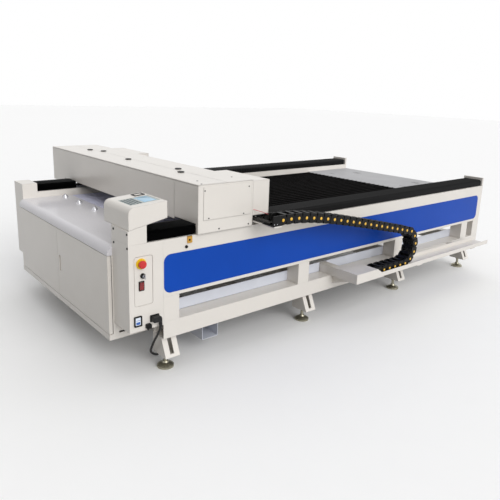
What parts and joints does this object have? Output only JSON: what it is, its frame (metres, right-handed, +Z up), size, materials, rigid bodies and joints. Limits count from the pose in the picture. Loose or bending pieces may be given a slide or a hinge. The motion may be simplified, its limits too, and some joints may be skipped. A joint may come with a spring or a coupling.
{
  "type": "flatbed laser cutting machine",
  "caption": "Free-standing flatbed laser cutter: slat bed between covered rails, travelling gantry with lids, front cabinet, tilted console and a drag chain at the side.",
  "frame": {"origin": "middle of the bounding box on the floor", "axes": "+X to the operator's right, +Y from the cabinet doors to the rear, +Z up"},
  "size_m": [2.253, 3.46, 1.0114],
  "materials": {
    "white_paint": "semi-gloss powder coat",
    "blue_paint": "gloss paint",
    "grey_panel": "semi-gloss",
    "zinc": "yellowish zinc plating",
    "slat_alu": "mill finish",
    "steel": "ground",
    "dark_steel": "black oxide",
    "alu": "anodised",
    "black_plastic": "satin",
    "bellows_fabric": "coated cloth",
    "black_rubber": "matte",
    "screen": "gloss",
    "keypad_film": "matte film",
    "yellow_plastic": "satin",
    "red_plastic": "gloss",
    "brass": "polished",
    "tube_glass": "clear",
    "electronics": "matte"
  },
  "bodies": {
    "frame": {"base_beams": "white_paint", "frame_members": "white_paint", "side_boxes": "white_paint", "side_panels": "blue_paint", "inner_panels": "grey_panel", "levelling_feet": "zinc", "cabinet": "white_paint", "front_table": "white_paint", "ball_units": "steel", "rear_table": "white_paint", "slat_bed": "slat_alu", "slat_combs": "dark_steel", "waste_hopper": "grey_panel", "exhaust_duct": "grey_panel", "front_columns": "white_paint", "console_neck": "white_paint", "console_housing": "white_paint", "lcd": "screen", "keypad": "keypad_film", "switch_plate": "white_paint", "panel_fittings": "black_plastic", "limit_switch": "brass", "estop_collar": "yellow_plastic", "cabinet_electrics": "electronics", "linear_rails": "steel", "chain_arm": "white_paint", "cable_tray": "white_paint", "chain_lower": "black_plastic", "front_bellows": "bellows_fabric", "rear_bellows": "bellows_fabric", "power_cord": "black_rubber", "cord_coil": "black_rubber", "cord_plugs": "black_rubber"},
    "door_left": {"door_left": "white_paint"},
    "door_right": {"door_right": "white_paint"},
    "estop_button": {"estop_button": "red_plastic"},
    "key": {"key": "brass"},
    "rocker": {"rocker": "red_plastic"},
    "gantry": {"gantry_beam": "alu", "gantry_saddles": "dark_steel", "front_cover": "white_paint", "right_end_cover": "white_paint", "rear_cover": "white_paint", "cable_bundle": "black_rubber", "axis_drives": "alu", "laser_tube": "tube_glass", "optic_mounts": "alu", "chain_bracket": "white_paint", "chain_upper": "black_plastic"},
    "front_lid": {"front_lid": "white_paint"},
    "rear_lid": {"rear_lid": "white_paint"},
    "lock_front_left": {"lock_front_left": "black_plastic"},
    "lock_front_middle": {"lock_front_middle": "black_plastic"},
    "lock_front_right": {"lock_front_right": "black_plastic"},
    "lock_rear_left": {"lock_rear_left": "black_plastic"},
    "lock_rear_right": {"lock_rear_right": "black_plastic"},
    "head": {"head_carriage": "alu"},
    "lens": {"lens_tube": "brass"},
    "drive_shaft": {"drive_shaft": "steel"},
    "chain_bend": {"chain_bend": "black_plastic"}
  },
  "joints": [
    {"name": "gantry_travel", "type": "slide", "parent": "frame", "child": "gantry", "axis": [0, 1, 0], "range_m": [-0.1, 2.15], "deforming": ["front_bellows", "rear_bellows", "chain_lower", "chain_upper"]},
    {"name": "chain_roll", "type": "slide", "parent": "frame", "child": "chain_bend", "axis": [0, 1, 0], "range_m": [-0.05, 1.075]},
    {"name": "drive_shaft_turn", "type": "hinge", "parent": "gantry", "child": "drive_shaft", "pos_m": [0.0335, -0.89, 0.7774], "axis": [1, 0, 0], "continuous": true},
    {"name": "head_travel", "type": "slide", "parent": "gantry", "child": "head", "axis": [1, 0, 0], "range_m": [-0.64, 0.64]},
    {"name": "focus", "type": "slide", "parent": "head", "child": "lens", "axis": [0, 0, 1], "range_m": [-0.01, 0.02]},
    {"name": "front_lid_hinge", "type": "hinge", "parent": "gantry", "child": "front_lid", "pos_m": [0.0335, -1.3115, 1.0025], "axis": [1, 0, 0], "range_deg": [0, 110]},
    {"name": "rear_lid_hinge", "type": "hinge", "parent": "gantry", "child": "rear_lid", "pos_m": [0.0335, -0.9505, 1.0025], "axis": [-1, 0, 0], "range_deg": [0, 110]},
    {"name": "lock_front_left_turn", "type": "hinge", "parent": "front_lid", "child": "lock_front_left", "pos_m": [-0.77152, -1.158, 1.0025], "axis": [0, 0, 1], "range_deg": [0, 90]},
    {"name": "lock_front_middle_turn", "type": "hinge", "parent": "front_lid", "child": "lock_front_middle", "pos_m": [-0.14647, -1.158, 1.0025], "axis": [0, 0, 1], "range_deg": [0, 90]},
    {"name": "lock_front_right_turn", "type": "hinge", "parent": "front_lid", "child": "lock_front_right", "pos_m": [0.50948, -1.158, 1.0025], "axis": [0, 0, 1], "range_deg": [0, 90]},
    {"name": "lock_rear_left_turn", "type": "hinge", "parent": "rear_lid", "child": "lock_rear_left", "pos_m": [-0.65551, -1.102, 1.0025], "axis": [0, 0, 1], "range_deg": [0, 90]},
    {"name": "lock_rear_right_turn", "type": "hinge", "parent": "rear_lid", "child": "lock_rear_right", "pos_m": [0.39143, -1.102, 1.0025], "axis": [0, 0, 1], "range_deg": [0, 90]},
    {"name": "door_left_hinge", "type": "hinge", "parent": "frame", "child": "door_left", "pos_m": [-0.6545, -1.72, 0.44], "axis": [0, 0, -1], "range_deg": [0, 110]},
    {"name": "door_right_hinge", "type": "hinge", "parent": "frame", "child": "door_right", "pos_m": [0.7215, -1.72, 0.44], "axis": [0, 0, 1], "range_deg": [0, 110]},
    {"name": "estop_press", "type": "slide", "parent": "frame", "child": "estop_button", "axis": [-1, 0, 0], "range_m": [0, 0.005], "stiffness_N_per_m": 1500},
    {"name": "key_turn", "type": "hinge", "parent": "frame", "child": "key", "pos_m": [0.9025, -1.628, 0.579], "axis": [1, 0, 0], "range_deg": [0, 90]},
    {"name": "rocker_tilt", "type": "hinge", "parent": "frame", "child": "rocker", "pos_m": [0.903, -1.635, 0.527], "axis": [0, -1, 0], "range_deg": [0, 9]}
  ],
  "couplings": [
    {"joint": "chain_roll", "follows": "gantry_travel", "ratio": 0.5},
    {"joint": "drive_shaft_turn", "follows": "gantry_travel", "rad_per_m": -50}
  ]
}
